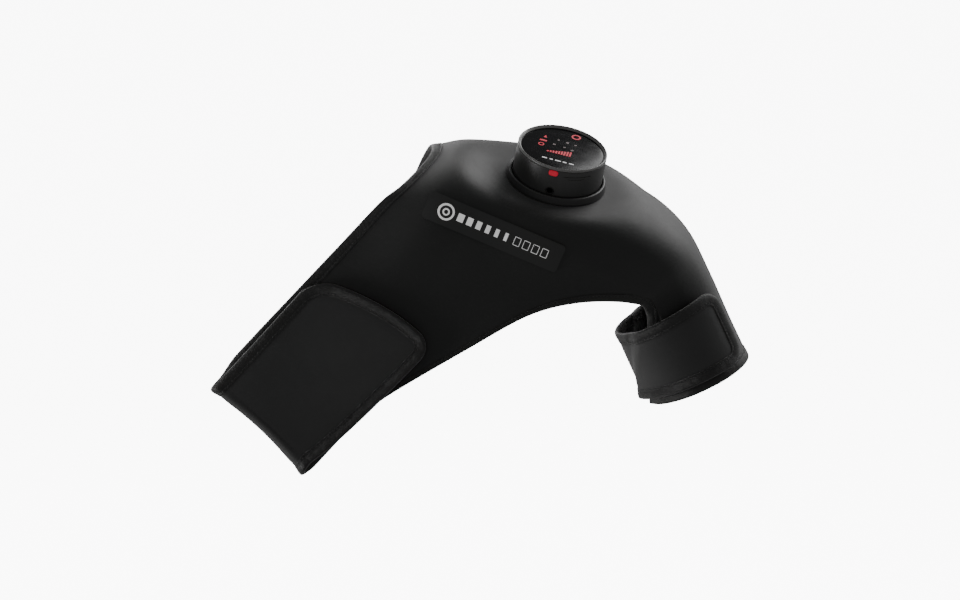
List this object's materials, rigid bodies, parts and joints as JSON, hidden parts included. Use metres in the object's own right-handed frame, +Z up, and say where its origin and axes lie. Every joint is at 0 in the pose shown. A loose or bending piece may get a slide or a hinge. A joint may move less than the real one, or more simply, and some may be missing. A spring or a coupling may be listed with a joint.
{
  "type": "shoulder cold compression wrap",
  "caption": "Neoprene shoulder wrap with a round display module, a folded chest strap and an arm strap.",
  "frame": {"origin": "where the top of the shoulder touches the lining, under the middle of the round module", "axes": "+X out along the shoulder to the arm, +Y to the wearer's back, +Z up"},
  "size_m": [0.4516, 0.2005, 0.2744],
  "materials": {
    "neoprene": "matte knit over neoprene",
    "lining": "brushed knit",
    "binding": "ribbed tape",
    "hook": "hook tape",
    "loop": "brushed loop",
    "label": "moulded satin",
    "gel": "smooth film",
    "bladder": "smooth film",
    "collar": "soft touch",
    "casing": "fine spark texture",
    "bezel": "satin",
    "lens": "polished black",
    "screen": "polished",
    "board": "solder mask",
    "cell": "foil",
    "metal": "turned",
    "button": "translucent red"
  },
  "bodies": {
    "wrap": {"air_bladder": "bladder", "air_grommet": "collar", "arm_loop_patch": "loop", "arm_strap": "neoprene", "back_armhole_binding": "binding", "back_loop_patch": "loop", "back_panel_binding": "binding", "chest_loop_patch": "loop", "chest_strap": "neoprene", "dock_clamp_ring": "casing", "dock_collar": "collar", "dock_plate": "casing", "dock_screw_1": "metal", "dock_screw_2": "metal", "dock_screw_3": "metal", "dock_screw_4": "metal", "front_armhole_binding": "binding", "gel_cell": "gel", "hem_binding": "binding", "label_patch": "label", "neck_binding": "binding", "outer_shell": "neoprene", "pocket_lining": "lining"},
    "module": {"module_base": "casing", "module_housing": "casing", "bezel_ring": "bezel", "display_lens": "lens", "display_panel": "screen", "main_board": "board", "battery_cell": "cell", "air_pump": "metal", "relief_valve": "casing", "air_tube": "bladder", "air_nipple": "casing", "charge_socket": "casing", "button_switch": "casing", "housing_seal": "collar", "inner_tray": "casing", "module_screw_1": "metal", "module_screw_2": "metal", "module_screw_3": "metal"},
    "power_button": {"power_button": "button"},
    "chest_flap": {"chest_flap": "neoprene", "chest_hook_patch": "hook", "chest_flap_binding": "binding"},
    "arm_flap": {"arm_flap": "neoprene", "arm_hook_patch": "hook", "arm_flap_binding": "binding"}
  },
  "joints": [
    {"name": "module_lift", "type": "slide", "parent": "wrap", "child": "module", "axis": [0.1777, -0.258, 0.9497], "range_m": [0, 0.045]},
    {"name": "button_press", "type": "slide", "parent": "module", "child": "power_button", "axis": [0.1922, 0.9555, 0.2236], "range_m": [0, 0.0005], "stiffness_N_per_m": 500, "springref_m": -0.0004},
    {"name": "chest_flap_peel", "type": "hinge", "parent": "wrap", "child": "chest_flap", "pos_m": [-0.28155, -0.08302, -0.14348], "axis": [0.734, -0.0583, -0.6767], "range_deg": [0, 140]},
    {"name": "arm_flap_peel", "type": "hinge", "parent": "wrap", "child": "arm_flap", "pos_m": [0.08121, 0.00403, -0.18158], "axis": [0.4067, 0, -0.9135], "range_deg": [0, 95]}
  ]
}
